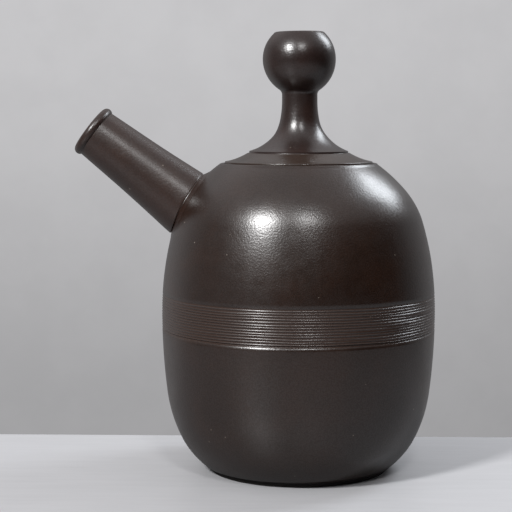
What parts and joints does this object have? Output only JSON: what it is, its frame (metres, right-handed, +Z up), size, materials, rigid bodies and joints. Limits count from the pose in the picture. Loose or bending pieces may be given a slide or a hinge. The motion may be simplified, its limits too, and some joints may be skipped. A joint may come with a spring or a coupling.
{
  "type": "lidded sake bottle",
  "caption": "Round-bellied stoneware sake bottle with a slanting spout on its shoulder, an incised band and a lid with a tall ball knob.",
  "frame": {"origin": "on the turning axis of the bottle, in the plane that the foot ring stands on", "axes": "+Z up along the turning axis; the spout points towards -X; the bottle mirrors about the XZ plane"},
  "size_m": [0.124, 0.094, 0.1504],
  "materials": {
    "body_clay": "burnished dark brown stoneware, satin",
    "foot_clay": "bare dark stoneware, matt",
    "spout_clay": "burnished dark brown stoneware, satin",
    "luting_clay": "bare reddish brown stoneware, matt",
    "lid_clay": "burnished dark brown stoneware, satin",
    "knob_clay": "burnished dark brown stoneware, satin"
  },
  "bodies": {
    "vessel": {"bottle_body": "body_clay", "foot_ring": "foot_clay", "spout": "spout_clay", "spout_collar": "luting_clay"},
    "lid_unit": {"lid": "lid_clay", "lid_knob": "knob_clay"}
  },
  "joints": [
    {"name": "lid_lift", "type": "slide", "parent": "vessel", "child": "lid_unit", "axis": [0, 0, 1], "range_m": [0, 0.06]}
  ]
}
